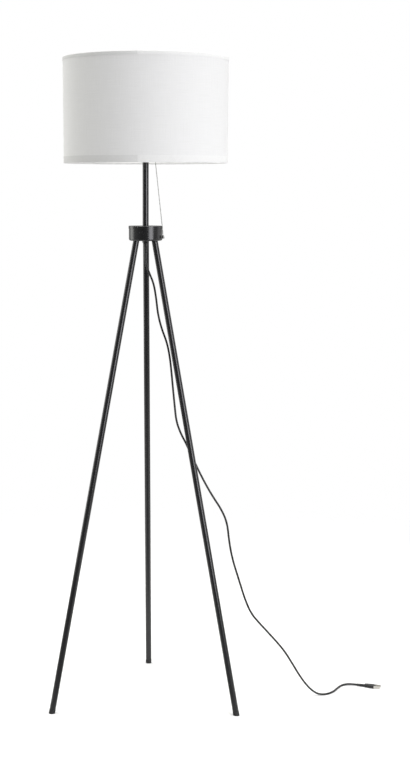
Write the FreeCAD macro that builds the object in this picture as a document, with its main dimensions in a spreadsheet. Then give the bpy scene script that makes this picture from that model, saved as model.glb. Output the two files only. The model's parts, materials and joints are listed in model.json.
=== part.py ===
import FreeCAD, Part
import math
import os
import re
import Sketcher
from FreeCAD import Placement, Rotation, Vector

# Tripod floor lamp with a drum shade, millimetres, +Z up. The floor is z = 0.
# While the pieces are made, the stem's axis is the Z axis and -Y is the front.
# At the end everything is moved sideways so that the lamp's footprint is centred on the origin.

DIMENSIONS = {
    # alias: (value, meaning)
    "shade_top_z": (1592, "top edge of the shade above the floor"),
    "shade_high": (250, "height of the shade"),
    "shade_top_radius": (200, "outside radius of the trim at the top"),
    "shade_bottom_radius": (198.75, "outside radius of the trim at the bottom"),
    "trim_thick": (0.4, "bias trim on the fabric"),
    "trim_top_high": (8, "trim band at the top"),
    "trim_bottom_high": (16, "trim band at the bottom"),
    "fabric_thick": (0.8, "woven cover"),
    "liner_thick": (0.6, "styrene sheet that the cover is bonded to"),
    "ring_wire": (1.75, "radius of the two hoop wires"),
    "arm_wire": (1.5, "radius of the spider's arms"),
    "spider_drop": (25.75, "spider's centre below the top edge"),
    "hub_z": (1155, "underside of the hub"),
    "hub_high": (36, "height of the hub with its lid"),
    "hub_radius": (41, "hub body"),
    "hub_wall": (2.5, "hub body wall"),
    "hub_floor": (3, "hub body floor"),
    "hub_round": (4.5, "rounded bottom edge of the hub"),
    "lid_radius": (41.75, "hub lid"),
    "lid_thick": (3, "hub lid plate"),
    "lid_skirt": (7, "depth of the lid over the body"),
    "block_high": (22, "casting in the hub that holds the legs"),
    "block_radius": (36, "casting in the hub"),
    "tube_radius": (7.5, "legs and stem"),
    "tube_wall": (1.2, "legs and stem"),
    "leg_foot_radius": (262, "leg axes on the floor, from the stem's axis"),
    "leg_hub_radius": (26, "leg axes at the hub's underside, from the stem's axis"),
    "leg_entry": (20, "leg length inside the hub"),
    "foot_high": (10, "foot below the end of the leg tube"),
    "foot_radius": (7.7, "foot collar"),
    "foot_plug": (15, "foot spigot inside the leg tube"),
    "insert_long": (18, "threaded insert in the top of a leg"),
    "bolt_radius": (3, "leg screw's thread"),
    "bolt_long": (20, "leg screw below its head"),
    "bolt_head_radius": (5, "leg screw's head"),
    "bolt_head_high": (4, "leg screw's head"),
    "bolt_socket": (2.9, "hexagon in the leg screw's head, centre to corner"),
    "seat_up": (4.2, "seat of the leg screw's washer above the end of the leg"),
    "washer_thick": (1.2, "washers of the leg screws and the hub"),
    "pipe_radius": (5, "threaded lamp pipe"),
    "pipe_bore": (3.8, "bore of the lamp pipe"),
    "pipe_hole": (5.1, "holes that the lamp pipe passes"),
    "hub_pipe_long": (59, "lamp pipe through the hub into the stem"),
    "pipe_below": (7, "end of the lamp pipe below the hub"),
    "stem_pipe_long": (24, "lamp pipe from the stem into the socket"),
    "nut_high": (4, "pipe nut"),
    "nut_corner": (8.1, "pipe nut, centre to corner"),
    "bush_long": (16, "threaded bush in each end of the stem"),
    "stem_top_z": (1352, "top of the stem tube, inside the shade"),
    "cord_radius": (2.5, "mains cord"),
    "relief_long": (26, "strain relief below the lamp pipe"),
    "socket_z": (1353.5, "underside of the socket"),
    "socket_radius": (18, "socket shell"),
    "core_z": (1368, "underside of the moulded core in the socket"),
    "core_high": (30, "moulded core"),
    "hollow_z": (1374, "floor of the switch's space in the core"),
    "hollow_top_z": (1396.8, "roof of the switch's space in the core"),
    "guide_z": (1373.5, "underside of the chain guide"),
    "guide_top_z": (1400, "top of the chain guide"),
    "guide_wall": (1.2, "chain guide"),
    "disc_high": (4, "contact disc on the core"),
    "bulb_z": (1403.4, "underside of the bulb's cap"),
    "cap_high": (21, "bulb's cap"),
    "collar_high": (36, "bulb's collar"),
    "finial_high": (21, "finial"),
    "pivot_out": (6, "switch spindle from the stem's axis"),
    "pivot_z": (1385, "switch spindle"),
    "lever_swing": (31, "lever travel in degrees"),
    "pull_travel": (8, "chain travel"),
    "chain_radius": (1.2, "ball chain"),
    "chain_out": (20.8, "chain from the stem's axis at the spindle's height"),
    "chain_rim_out": (43.6, "chain from the stem's axis at the hub's rim"),
    "chain_rim_z": (1189, "where the chain turns down over the rim"),
    "chain_end_z": (1169, "top of the pull"),
    "chain_end_out": (45.6, "pull from the stem's axis, resting beside the hub"),
    "pull_high": (8.5, "pull at the chain's end"),
    "bulb_radius": (30, "bulb globe"),
    "bulb_cap_radius": (13.1, "bulb screw cap"),
    "harp_wire": (1.6, "radius of the harp's wire"),
    "harp_foot_out": (30, "harp's ends from the stem's axis"),
    "harp_out": (57, "harp at its widest from the stem's axis"),
}
TRIPOD_TURN = 1.8          # degrees, the tripod's turn about the stem, clockwise from above
CHAIN_AZIMUTH = -22.0      # degrees, the side of the lamp that the pull chain hangs on
LEG_AZIMUTHS = {"rear": 90 - TRIPOD_TURN, "left": 210 - TRIPOD_TURN, "right": 330 - TRIPOD_TURN}

# The mains cord's route from the strain relief to the plug, chosen by hand, from the stem's axis.
CORD_ROUTE = [
    (0, 0, 1121), (0, 0, 1100), (8, -2, 1078), (20, -4, 1050), (26, -8, 1013), (30, -13, 976),
    (39, -18, 941), (52, -25, 908), (59, -30, 874), (63, -36, 838), (67, -42, 794), (71, -46, 754),
    (75, -49, 716), (86, -51, 686), (98, -53, 664), (109, -54, 640), (121, -55, 614), (139, -54, 576),
    (162, -52, 534), (188, -48, 494), (202, -44, 460), (207, -40, 414), (216, -35, 366),
    (233, -29, 312), (249, -25, 260), (265, -21, 222), (289, -16, 193), (319, -10, 159),
    (350, -4, 122), (371, -2, 88), (389, 0, 57), (407, 1, 31), (424, 2, 13), (442, 3, 2.6),
    (462, 5, 2.6), (479, 21, 2.6), (490, 40, 2.6), (500, 60, 2.6), (512, 76, 2.6), (531, 81, 3.7),
    (549, 74, 3.7),
]
RELIEF_LONG = 20           # plug's strain relief
PLUG_LONG = 25             # plug's grip
BLADE_LONG = 16            # plug's blades

doc = FreeCAD.newDocument("tripod_floor_lamp")
sheet = doc.addObject("Spreadsheet::Sheet", "Dims")
parts = {}                 # node name: document object


def fill_sheet():
    """Write every driving dimension as a plain number under its alias."""
    for row, (alias, (value, meaning)) in enumerate(DIMENSIONS.items(), start=1):
        sheet.set(f"A{row}", alias)
        sheet.set(f"B{row}", str(value))
        sheet.set(f"C{row}", meaning)
        sheet.setAlias(f"B{row}", alias)
    doc.recompute()


def bound(text):
    """An expression on the sheet, from one that uses bare aliases."""
    def on_sheet(found):
        word = found.group()
        return "Dims." + word if word in DIMENSIONS else word

    return re.sub(r"[a-z]\w+", on_sheet, str(text))


def size(text):
    """The number that such an expression gives now."""
    value = sheet.evalExpression(bound(text))
    return float(getattr(value, "Value", value))


def keep(node, piece):
    """Register a finished sub-part under its node name."""
    piece.Label = node
    parts[node] = piece
    return piece


def raise_to(piece, height):
    """Bind a piece's height above the floor to the sheet."""
    piece.setExpression("Placement.Base.z", bound(height))
    return piece


# ---------------------------------------------------------------- ways of making a piece

def arc_between(start, end, radius, anticlockwise):
    """The minor arc from start to end, with its own start and end positions on the sketch's arc."""
    middle = (start + end) * 0.5
    chord = end - start
    rise = math.sqrt(max(radius ** 2 - (chord.Length / 2) ** 2, 0))
    left = Vector(-chord.y, chord.x, 0).normalize()
    centre = middle + left * (rise if anticlockwise else -rise)
    first, last = (start, end) if anticlockwise else (end, start)
    angles = [math.atan2(p.y - centre.y, p.x - centre.x) for p in (first, last)]
    if angles[1] < angles[0]:
        angles[1] += 2 * math.pi
    circle = Part.Circle(centre, Vector(0, 0, 1), radius)
    return Part.ArcOfCircle(circle, angles[0], angles[1]), (1, 2) if anticlockwise else (2, 1)


def turned(name, outline, arcs=None, height=None):
    """A body turned about Z. outline lists (radius, height) pairs; arcs maps an edge's number
    to (radius, anticlockwise). height raises the finished body above the floor."""
    arcs = arcs or {}
    body = doc.addObject("PartDesign::Body", name)
    sketch = body.newObject("Sketcher::SketchObject", name + "_outline")
    plane = next(p for p in body.Origin.OriginFeatures if p.Role == "XZ_Plane")
    sketch.AttachmentSupport = [(plane, "")]
    sketch.MapMode = "FlatFace"
    corners = [Vector(size(r), size(z), 0) for r, z in outline]
    count = len(corners)
    ends = []
    for i, corner in enumerate(corners):
        following = corners[(i + 1) % count]
        if i in arcs:
            curve, positions = arc_between(corner, following, size(arcs[i][0]), arcs[i][1])
        else:
            curve, positions = Part.LineSegment(corner, following), (1, 2)
        sketch.addGeometry(curve)
        ends.append(positions)
    for i in range(count):
        after = (i + 1) % count
        sketch.addConstraint(Sketcher.Constraint("Coincident", i, ends[i][1], after, ends[after][0]))
    for i, (radius, level) in enumerate(outline):
        for kind, text, value, axis in (("DistanceX", radius, corners[i].x, -2),
                                        ("DistanceY", level, corners[i].y, -1)):
            if abs(value) < 1e-9:
                sketch.addConstraint(Sketcher.Constraint("PointOnObject", i, ends[i][0], axis))
            else:
                number = sketch.addConstraint(Sketcher.Constraint(kind, -1, 1, i, ends[i][0], value))
                sketch.setExpression(f"Constraints[{number}]", bound(text))
    for i, (radius, _) in arcs.items():
        number = sketch.addConstraint(Sketcher.Constraint("Radius", i, size(radius)))
        sketch.setExpression(f"Constraints[{number}]", bound(radius))
    turn = body.newObject("PartDesign::Revolution", name + "_turn")
    turn.Profile = sketch
    turn.ReferenceAxis = (sketch, ["V_Axis"])
    turn.Angle = 360
    if height is not None:
        raise_to(body, height)
    return body


def sleeve(name, outer, inner, length, height=None):
    """A plain turned tube."""
    return turned(name, [(inner, 0), (outer, 0), (outer, length), (inner, length)], height=height)


def rod(name, radius, length, place=None):
    """A Part cylinder along its own Z."""
    piece = doc.addObject("Part::Cylinder", name)
    piece.setExpression("Radius", bound(radius))
    piece.setExpression("Height", bound(length))
    piece.Placement = place or Placement()
    return piece


def block(name, low, high, place=None):
    """A Part box between two corners, each a triple of expressions."""
    piece = doc.addObject("Part::Box", name)
    for side, a, b in zip(("Length", "Width", "Height"), low, high):
        piece.setExpression(side, bound(f"({b}) - ({a})"))
    corner = Vector(*(size(a) for a in low))
    piece.Placement = (place or Placement()).multiply(Placement(corner, Rotation()))
    return piece


def joined(name, pieces):
    """One solid from overlapping pieces."""
    whole = doc.addObject("Part::MultiFuse", name)
    whole.Shapes = pieces
    return whole


def cut(name, base, tools):
    """base without the tools."""
    tool = tools[0] if len(tools) == 1 else joined(name + "_tools", tools)
    result = doc.addObject("Part::Cut", name)
    result.Base = base
    result.Tool = tool
    return result


def group(name, pieces):
    """Identical separate solids that share one node."""
    whole = doc.addObject("Part::Compound", name)
    whole.Links = pieces
    return whole


def formed(name, shape, place=None):
    """A piece whose shape is worked out by Part, such as a bent wire."""
    piece = doc.addObject("Part::Feature", name)
    piece.Shape = shape
    piece.Placement = place or Placement()
    return piece


def bent_path(points, bend=None):
    """Straight runs joined by tangent arcs. Each arc is as large as its two runs allow,
    or has the radius bend where that is given. Returns the wire and the arc radii."""
    points = [Vector(*p) for p in points]
    edges, radii = [], []
    start = points[0]
    for before, corner, after in zip(points, points[1:], points[2:]):
        back, ahead = before - corner, after - corner
        turn = math.pi - back.getAngle(ahead)
        reach = 0.45 * min(back.Length, ahead.Length)
        if bend is not None:
            reach = min(reach, bend * math.tan(turn / 2))
        radius = reach / math.tan(turn / 2)
        radii.append(radius)
        back.normalize()
        ahead.normalize()
        enter, leave = corner + back * reach, corner + ahead * reach
        inward = (back + ahead).normalize()
        middle = corner + inward * (radius / math.cos(turn / 2) - radius)
        edges += [Part.LineSegment(start, enter).toShape(), Part.Arc(enter, middle, leave).toShape()]
        start = leave
    edges.append(Part.LineSegment(start, points[-1]).toShape())
    return Part.Wire(edges), radii


def round_bar(path, radius):
    """A round section swept along a path."""
    first = path.OrderedEdges[0]
    start = first.valueAt(first.FirstParameter)
    heading = first.tangentAt(first.FirstParameter)
    section = Part.Wire([Part.makeCircle(radius, start, heading)])
    return path.makePipeShell([section], True, True)


def checked_bar(name, points, radius, bend=None):
    """A swept bar whose volume is compared with its section times its length."""
    path, radii = bent_path(points, bend)
    bar = round_bar(path, radius)
    ratio = bar.Volume / (math.pi * radius ** 2 * path.Length)
    print(f"{name}: length {path.Length:.1f}, volume ratio {ratio:.4f}, arc radii",
          " ".join(f"{r:.0f}" for r in radii))
    if abs(ratio - 1) > 0.01:
        raise ValueError(f"{name} was not swept whole")
    return bar


def about_stem(azimuth):
    """A placement turned about the stem, in degrees from +X."""
    return Placement(Vector(), Rotation(Vector(0, 0, 1), azimuth))


def lifted(place, out, across, up):
    """A place out from, across and above another."""
    return place.multiply(Placement(Vector(out, across, up), Rotation()))


# ---------------------------------------------------------------- tripod

LEAN = None                # degrees between a leg and the stem, set once the sheet is filled


def leg_place(azimuth):
    """The frame of a leg: its origin on the floor, its Z up along the leg."""
    foot = Placement(Vector(size("leg_foot_radius"), 0, 0), Rotation(Vector(0, 1, 0), -LEAN))
    return about_stem(azimuth).multiply(foot)


def leg_length():
    """From the floor to the hub's underside along a leg."""
    return size("sqrt((leg_foot_radius - leg_hub_radius) ^ 2 + hub_z ^ 2)")


def put_on_leg(piece, azimuth):
    piece.Placement = leg_place(azimuth).multiply(piece.Placement)
    return piece


def make_legs():
    """Three straight tubes, each with a threaded insert at the top and a foot at the bottom."""
    long = "sqrt((leg_foot_radius - leg_hub_radius) ^ 2 + hub_z ^ 2)"
    bore = "tube_radius - tube_wall"
    for side, azimuth in LEG_AZIMUTHS.items():
        tube = turned(f"leg_{side}", [(bore, "foot_high"), ("tube_radius", "foot_high"),
                                      ("tube_radius", f"{long} + leg_entry"), (bore, f"{long} + leg_entry")])
        keep(f"leg_{side}", put_on_leg(tube, azimuth))
        keep(f"foot_{side}", make_foot(side, azimuth))
    inserts, bolts, washers = [], [], []
    for side, azimuth in LEG_AZIMUTHS.items():
        top = leg_length() + size("leg_entry")
        insert = sleeve(f"insert_{side}", f"{bore} - 0.02", "bolt_radius + 0.05", "insert_long")
        washer = sleeve(f"washer_{side}", 6, "bolt_radius + 0.2", "washer_thick")
        seat = top + size("seat_up")
        for piece, level, pile in ((insert, top - size("insert_long"), inserts), (washer, seat, washers)):
            piece.Placement = Placement(Vector(0, 0, level), Rotation())
            pile.append(put_on_leg(piece, azimuth))
        bolts.append(make_bolt(side, azimuth, seat + size("washer_thick")))
    keep("leg_inserts", group("leg_inserts", inserts))
    keep("leg_bolts", group("leg_bolts", bolts))
    keep("leg_washers", group("leg_washers", washers))


def make_foot(side, azimuth):
    """A moulded plug in the end of the tube, its collar cut level so that it stands flat."""
    spigot = "tube_radius - tube_wall - 0.03"
    collar = "foot_high + 3"
    plug = turned(f"foot_{side}_plug",
                  [(0, 0), ("foot_radius", 0), ("foot_radius", collar), (spigot, collar),
                   (spigot, f"{collar} + foot_plug"), (0, f"{collar} + foot_plug")])
    plug.Placement = Placement(Vector(0, 0, -3), Rotation())
    put_on_leg(plug, azimuth)
    below = block(f"foot_{side}_floor", (-20, -20, -20), (20, 20, 0),
                  lifted(about_stem(azimuth), size("leg_foot_radius"), 0, 0))
    return cut(f"foot_{side}", plug, [below])


def make_bolt(side, azimuth, seat):
    """A cap screw down the leg's axis, with a hexagon socket in its head."""
    head_top = "bolt_long + bolt_head_high"
    shape = turned(f"bolt_{side}_blank", [
        (0, 0), ("bolt_radius", 0), ("bolt_radius", "bolt_long"), ("bolt_head_radius", "bolt_long"),
        ("bolt_head_radius", head_top), (0, head_top)])
    recess = doc.addObject("Part::Prism", f"bolt_{side}_recess")
    recess.Polygon = 6
    recess.setExpression("Circumradius", bound("bolt_socket"))
    recess.Height = 5
    recess.Placement = Placement(Vector(0, 0, size(head_top) - 2.5), Rotation())
    bolt = cut(f"bolt_{side}", shape, [recess])
    foot_of_bolt = Placement(Vector(0, 0, seat - size("bolt_long")), Rotation())
    bolt.Placement = leg_place(azimuth).multiply(foot_of_bolt)
    return bolt


# ---------------------------------------------------------------- hub

def make_hub():
    """The drum that the legs and the stem meet in."""
    body = turned("hub_drum", [
        (0, 0), ("hub_radius - hub_round", 0), ("hub_radius", "hub_round"),
        ("hub_radius", "hub_high - lid_thick"), ("hub_radius - hub_wall", "hub_high - lid_thick"),
        ("hub_radius - hub_wall", "hub_floor"), (0, "hub_floor")], {1: ("hub_round", True)}, "hub_z")
    holes = [rod(f"leg_hole_{side}", "tube_radius + 0.3", 60,
                 lifted(leg_place(azimuth), 0, 0, leg_length() - 30))
             for side, azimuth in LEG_AZIMUTHS.items()]
    centre = rod("hub_centre_hole", "pipe_hole", 10, Placement(Vector(0, 0, size("hub_z") - 5), Rotation()))
    keep("hub_body", cut("hub_body", body, holes + [centre]))
    keep("leg_block", make_leg_block())
    keep("hub_lid", turned("hub_lid", [
        ("pipe_hole", "lid_skirt - lid_thick"), ("hub_radius + 0.05", "lid_skirt - lid_thick"),
        ("hub_radius + 0.05", 0), ("lid_radius", 0), ("lid_radius", "lid_skirt - 1"),
        ("lid_radius - 1", "lid_skirt"), ("pipe_hole", "lid_skirt")], {4: (1, True)},
        "hub_z + hub_high - lid_skirt"))
    keep("hub_pipe", sleeve("hub_pipe", "pipe_radius", "pipe_bore", "hub_pipe_long", "hub_z - pipe_below"))
    keep("hub_washer", sleeve("hub_washer", 9, "pipe_hole", "washer_thick", "hub_z - washer_thick"))


def make_leg_block():
    """The casting on the hub's floor: a blind bore for each leg and a seat for its screw."""
    body = sleeve("leg_block_blank", "block_radius", "pipe_hole", "block_high", "hub_z + hub_floor")
    tools = []
    top = leg_length() + size("leg_entry")
    for side, azimuth in LEG_AZIMUTHS.items():
        place = leg_place(azimuth)
        seat = top + size("seat_up")
        tools.append(rod(f"block_bore_{side}", "tube_radius + 0.05", 60, lifted(place, 0, 0, top + 0.2 - 60)))
        tools.append(rod(f"block_screw_{side}", "bolt_radius + 0.2", 12, lifted(place, 0, 0, top - 1)))
        tools.append(rod(f"block_seat_{side}", 6.6, 20, lifted(place, 0, 0, seat)))
    return cut("leg_block", body, tools)


def pipe_nut(name, height):
    """A thin hexagon nut for the lamp pipe."""
    blank = doc.addObject("Part::Prism", name + "_blank")
    blank.Polygon = 6
    blank.setExpression("Circumradius", bound("nut_corner"))
    blank.setExpression("Height", bound("nut_high"))
    raise_to(blank, height)
    bore = rod(name + "_bore", "pipe_radius + 0.05", "nut_high + 2")
    raise_to(bore, f"{height} - 1")
    return cut(name, blank, [bore])


# ---------------------------------------------------------------- stem

def make_stem():
    """The upright tube, its threaded bushes, and the lamp pipe into the socket."""
    bottom = "hub_z + hub_high"
    bore = "tube_radius - tube_wall"
    keep("stem_tube", sleeve("stem_tube", "tube_radius", bore, f"stem_top_z - ({bottom})", bottom))
    bushes = [sleeve(f"stem_bush_{end}", f"{bore} - 0.02", "pipe_radius + 0.05", "bush_long", height)
              for end, height in (("lower", bottom), ("upper", "stem_top_z - bush_long"))]
    keep("stem_bushes", group("stem_bushes", bushes))
    keep("stem_pipe", sleeve("stem_pipe", "pipe_radius", "pipe_bore", "stem_pipe_long", "stem_top_z - 13"))
    keep("pipe_nuts", group("pipe_nuts", [
        pipe_nut("nut_on_block", "hub_z + hub_floor + block_high"),
        pipe_nut("nut_under_hub", "hub_z - washer_thick - nut_high"),
        pipe_nut("nut_in_socket", "socket_z + 1.5")]))


# ---------------------------------------------------------------- socket and pull switch

def make_socket():
    """The pull-chain socket's housing, insulation and contacts."""
    chain_side = about_stem(CHAIN_AZIMUTH)
    keep("socket_cap", turned("socket_cap", [
        ("pipe_hole", 0), (14, 0), ("socket_radius + 0.8", 5), ("socket_radius + 0.8", 18.5),
        ("socket_radius + 0.05", 18.5), ("socket_radius + 0.05", 5.8), (13.4, 1.5), ("pipe_hole", 1.5)],
        height="socket_z"))
    slots = {}
    for name in ("shell", "liner", "core"):
        slots[name] = block(f"socket_{name}_slot", (10, -4.3, "hollow_z + 1"), (30, 4.3, "guide_top_z - 1"),
                            chain_side)
    shell = sleeve("socket_shell_tube", "socket_radius", "socket_radius - 0.8", 62, "socket_z + 8.5")
    keep("socket_shell", cut("socket_shell", shell, [slots["shell"]]))
    liner = sleeve("socket_liner_tube", "socket_radius - 0.85", "socket_radius - 1.45", 60, "socket_z + 9")
    keep("socket_liner", cut("socket_liner", liner, [slots["liner"]]))
    keep("switch_body", make_switch_body(chain_side, slots["core"]))
    core_top = "core_z + core_high"
    keep("contact_disc", sleeve("contact_disc", "socket_radius - 1.6", 2, "disc_high", core_top))
    keep("screw_shell", sleeve("screw_shell", "bulb_cap_radius + 0.9", "bulb_cap_radius + 0.3", 20,
                               f"{core_top} + disc_high"))
    blade_top = "disc_high + 0.5"
    keep("centre_contact", turned("centre_contact", [
        (0, 0), (1.9, 0), (1.9, "disc_high"), (6, "disc_high"), (6, blade_top), (0, blade_top)],
        height=core_top))
    screws = []
    for side in (-1, 1):
        place = lifted(about_stem(CHAIN_AZIMUTH + 90), side * 10, 0, size("core_z - 4.5"))
        head = rod(f"terminal_head_{side + 1}", 2.2, 1.8, place)
        shank = rod(f"terminal_shank_{side + 1}", 1.2, 4.5, lifted(place, 0, 0, 1.5))
        screws.append(joined(f"terminal_screw_{side + 1}", [head, shank]))
    keep("terminal_screws", group("terminal_screws", screws))
    keep("chain_guide", make_chain_guide(chain_side))


def make_switch_body(chain_side, slot):
    """The moulded core, hollowed for the switch, with holes for its spindle and terminals."""
    edge = "socket_radius - 1.6"
    core = turned("switch_core", [(0, 0), (edge, 0), (edge, "core_high"), (0, "core_high")], height="core_z")
    hollow = block("switch_hollow", (0, -7, "hollow_z"), (20, 7, "hollow_top_z"), chain_side)
    across = Placement(Vector(size("pivot_out"), -20, size("pivot_z")), Rotation(Vector(1, 0, 0), -90))
    spindle_hole = rod("spindle_hole", 1.27, 40, chain_side.multiply(across))
    taps = [rod(f"terminal_hole_{side + 1}", 1.25, 5,
                lifted(about_stem(CHAIN_AZIMUTH + 90), side * 10, 0, size("core_z - 2")))
            for side in (-1, 1)]
    return cut("switch_body", core, [hollow, spindle_hole, slot] + taps)


def make_chain_guide(chain_side):
    """The cover over the lever's outer end, with the mouth that the chain leaves by."""
    outside = block("guide_outside", (14, -5.5, "guide_z"), (27, 5.5, "guide_top_z"), chain_side)
    inside = block("guide_inside", (13, -4.3, "guide_z + guide_wall"),
                   ("27 - guide_wall", 4.3, "guide_top_z - guide_wall"), chain_side)
    bore = rod("guide_bore", "socket_radius + 0.02", 40, Placement(Vector(0, 0, size("core_z")), Rotation()))
    mouth_out = chain_at(size("guide_z + guide_wall / 2"))[0]
    mouth = rod("guide_mouth", 2.3, 4, lifted(chain_side, mouth_out, 0, size("guide_z - 1.5")))
    return cut("chain_guide", outside, [inside, bore, mouth])


def chain_at(height):
    """Where the chain's straight upper stretch is at a height: (out from the stem, height)."""
    slope = size("(chain_rim_out - chain_out) / (pivot_z - chain_rim_z)")
    return size("chain_out") + (size("pivot_z") - height) * slope, height


def make_switch():
    """Spindle, lever, pawl, rotor, contact blades and the spring round the chain."""
    side = about_stem(CHAIN_AZIMUTH)
    pivot_out, pivot_z = size("pivot_out"), size("pivot_z")

    def along_spindle(start):
        return side.multiply(Placement(Vector(pivot_out, start, pivot_z), Rotation(Vector(1, 0, 0), -90)))

    keep("switch_spindle", rod("switch_spindle", 1.25, 22, along_spindle(-11)))
    tilt = Rotation(Vector(0, 1, 0), -size("lever_swing / 2"))
    arm_frame = side.multiply(Placement(Vector(pivot_out, 0, pivot_z), tilt))
    arm = joined("lever_blank", [
        rod("lever_boss", 3.2, 4.4, along_spindle(-6.6)),
        block("lever_arm", (0, -6.6, -1), (8, -2.2, 1), arm_frame),
        block("lever_fork", (5.5, -3.5, -1), (18.5, 3.5, 1), arm_frame)])
    slot = block("lever_slot", (12.3, -1.6, -2), (20, 1.6, 2), arm_frame)
    bore = rod("lever_bore", 1.3, 8, along_spindle(-8))
    keep("switch_lever", cut("switch_lever", arm, [slot, bore]))
    keep("drive_pawl", block("drive_pawl", (4.85, -1.5, -0.3), (5.45, 1.5, 0.3), arm_frame))
    drum = rod("rotor_drum", 4.5, 6, along_spindle(-0.6))
    notches = []
    for quarter in range(4):
        turn = Placement(Vector(), Rotation(Vector(0, 1, 0), 90 * quarter))
        frame = side.multiply(Placement(Vector(pivot_out, 0, pivot_z), Rotation())).multiply(turn)
        notches.append(block(f"rotor_notch_{quarter}", (3.2, -1, -1.2), (5, 2, 1.2), frame))
    rotor_bore = rod("rotor_bore", 1.3, 10, along_spindle(-2))
    keep("switch_rotor", cut("switch_rotor", drum, notches + [rotor_bore]))
    blades = [block(f"blade_{word}", (1, 2.4, low), (9, 5.2, high), lifted(side, 0, 0, pivot_z))
              for word, low, high in (("upper", 4.9, 5.4), ("lower", -5.4, -4.9))]
    keep("contact_blades", group("contact_blades", blades))
    keep("return_spring", formed("return_spring", coil(2.35, 0.25, 2.0, 11.6),
                                 lifted(side, 21.35, 0, size("guide_z + guide_wall") + 0.35)))


def coil(radius, wire, pitch, long):
    """A compression spring of round wire about Z."""
    helix = Part.Wire(Part.makeHelix(pitch, long, radius).Edges)
    heading = Vector(0, 1, pitch / (2 * math.pi * radius))
    section = Part.Wire([Part.makeCircle(wire, Vector(radius, 0, 0), heading)])
    return helix.makePipeShell([section], True, True)


def make_chain():
    """The stop on the lever, the chain down over the hub's rim, and its pull."""
    side = about_stem(CHAIN_AZIMUTH)
    stop_out, stop_z = chain_at(size("pivot_z") + 7.55)
    stop = doc.addObject("Part::Sphere", "chain_stop")
    stop.Radius = 2.2
    stop.Placement = lifted(side, stop_out, 0, stop_z)
    bar_top = Vector(*(stop_out, 0, stop_z))
    rim = Vector(size("chain_rim_out"), 0, size("chain_rim_z"))
    end = Vector(size("chain_end_out"), 0, size("chain_end_z"))
    start = bar_top + (rim - bar_top).normalize() * 2.1
    bar = checked_bar("pull_chain", [start, rim, end], size("chain_radius"))
    chain = formed("pull_chain_bar", bar, side)
    keep("chain_stop", stop)
    keep("pull_chain", cut("pull_chain", chain, [rod_at_stop(side, stop_out, stop_z)]))
    keep("chain_pull", turned("chain_pull", [
        (0, 0), (2.6, 0), (3.5, 1.3), (2.6, 5.6), (1.5, "pull_high"), (0, "pull_high")],
        {1: (1.3, True), 3: (8, False)}))
    parts["chain_pull"].Placement = lifted(side, end.x, 0, end.z - size("pull_high"))


def rod_at_stop(side, out, height):
    """The ball's own space, taken out of the chain's top end."""
    ball = doc.addObject("Part::Sphere", "chain_stop_space")
    ball.Radius = 2.2
    ball.Placement = lifted(side, out, 0, height)
    return ball


# ---------------------------------------------------------------- harp and bulb

def make_harp():
    """The saddle on the stem, the wire bow round the bulb, its ferrules and the finial."""
    foot_out = size("harp_foot_out")
    strap = block("saddle_strap", (f"-{foot_out} - 3", -6, "stem_top_z"), (f"{foot_out} + 3", 6, "socket_z"),
                  about_stem(90))
    posts = [rod(f"saddle_post_{end + 1}", "harp_wire", 9,
                 lifted(about_stem(90), end * foot_out, 0, size("socket_z") - 0.5))
             for end in (-1, 1)]
    hole = rod("saddle_hole", "pipe_hole", 10, Placement(Vector(0, 0, size("stem_top_z") - 5), Rotation()))
    keep("harp_saddle", cut("harp_saddle", joined("saddle_blank", [strap] + posts), [hole]))
    ferrules = []
    for end in (-1, 1):
        ferrule = sleeve(f"ferrule_{end + 1}", 3.2, "harp_wire + 0.05", 13)
        ferrule.Placement = lifted(about_stem(90), end * foot_out, 0, size("socket_z") + 3)
        ferrules.append(ferrule)
    keep("harp_ferrules", group("harp_ferrules", ferrules))
    spider_z = size("shade_top_z - spider_drop")
    foot_z, top_z, wide = size("socket_z") + 8.5, spider_z - 3.25, size("harp_out")
    half = [(foot_out, foot_z), (foot_out, foot_z + 26), (wide, foot_z + 68),
            (wide, foot_z + 138), (24, top_z)]
    points = [(out, 0, z) for out, z in half] + [(-out, 0, z) for out, z in reversed(half)]
    bow = checked_bar("harp", points, size("harp_wire"))
    disc = Part.makeCylinder(8, 5.25, Vector(0, 0, spider_z - 5.75))
    stud = Part.makeCylinder(3, 11, Vector(0, 0, spider_z - 1.25))
    keep("harp", formed("harp", bow.fuse([disc, stud]).removeSplitter(), about_stem(90)))
    keep("finial", turned("finial", [
        (3.1, 0), (7.5, 0), (7.5, 3), (4.2, 6), (6.5, "finial_high - 6.5"), (0, "finial_high"),
        (0, "finial_high / 2"), (3.1, "finial_high / 2")],
        {2: (4.5, False), 3: (9, False), 4: (6.5, True)}, "shade_top_z - spider_drop + 1"))


def make_bulb():
    """A lamp with a screw cap, a moulded collar and a frosted globe."""
    keep("bulb_cap", turned("bulb_cap", [
        (0, 0), (5, 0), ("bulb_cap_radius", 3), ("bulb_cap_radius", "cap_high"), (0, "cap_high")],
        height="bulb_z"))
    keep("bulb_tip", turned("bulb_tip", [(0, 0), (4.4, 0), (4.4, 0.8), (0, 0.8)], height="bulb_z - 0.8"))
    keep("bulb_collar", turned("bulb_collar", [
        (0, 0), (13.5, 0), (28, "collar_high - 4"), (28, "collar_high"), (0, "collar_high")],
        {1: (60, False)}, "bulb_z + cap_high"))
    keep("bulb_globe", turned("bulb_globe", [
        (0, 0), (28, 0), ("bulb_radius", 12), (0, "12 + bulb_radius"), (0, "10.5 + bulb_radius"),
        ("bulb_radius - 1.5", 12), (26.5, 1.5), (0, 1.5)],
        {1: (37, True), 2: ("bulb_radius", True), 4: ("bulb_radius - 1.5", False), 5: (34, False)},
        "bulb_z + cap_high + collar_high"))


# ---------------------------------------------------------------- shade

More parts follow.
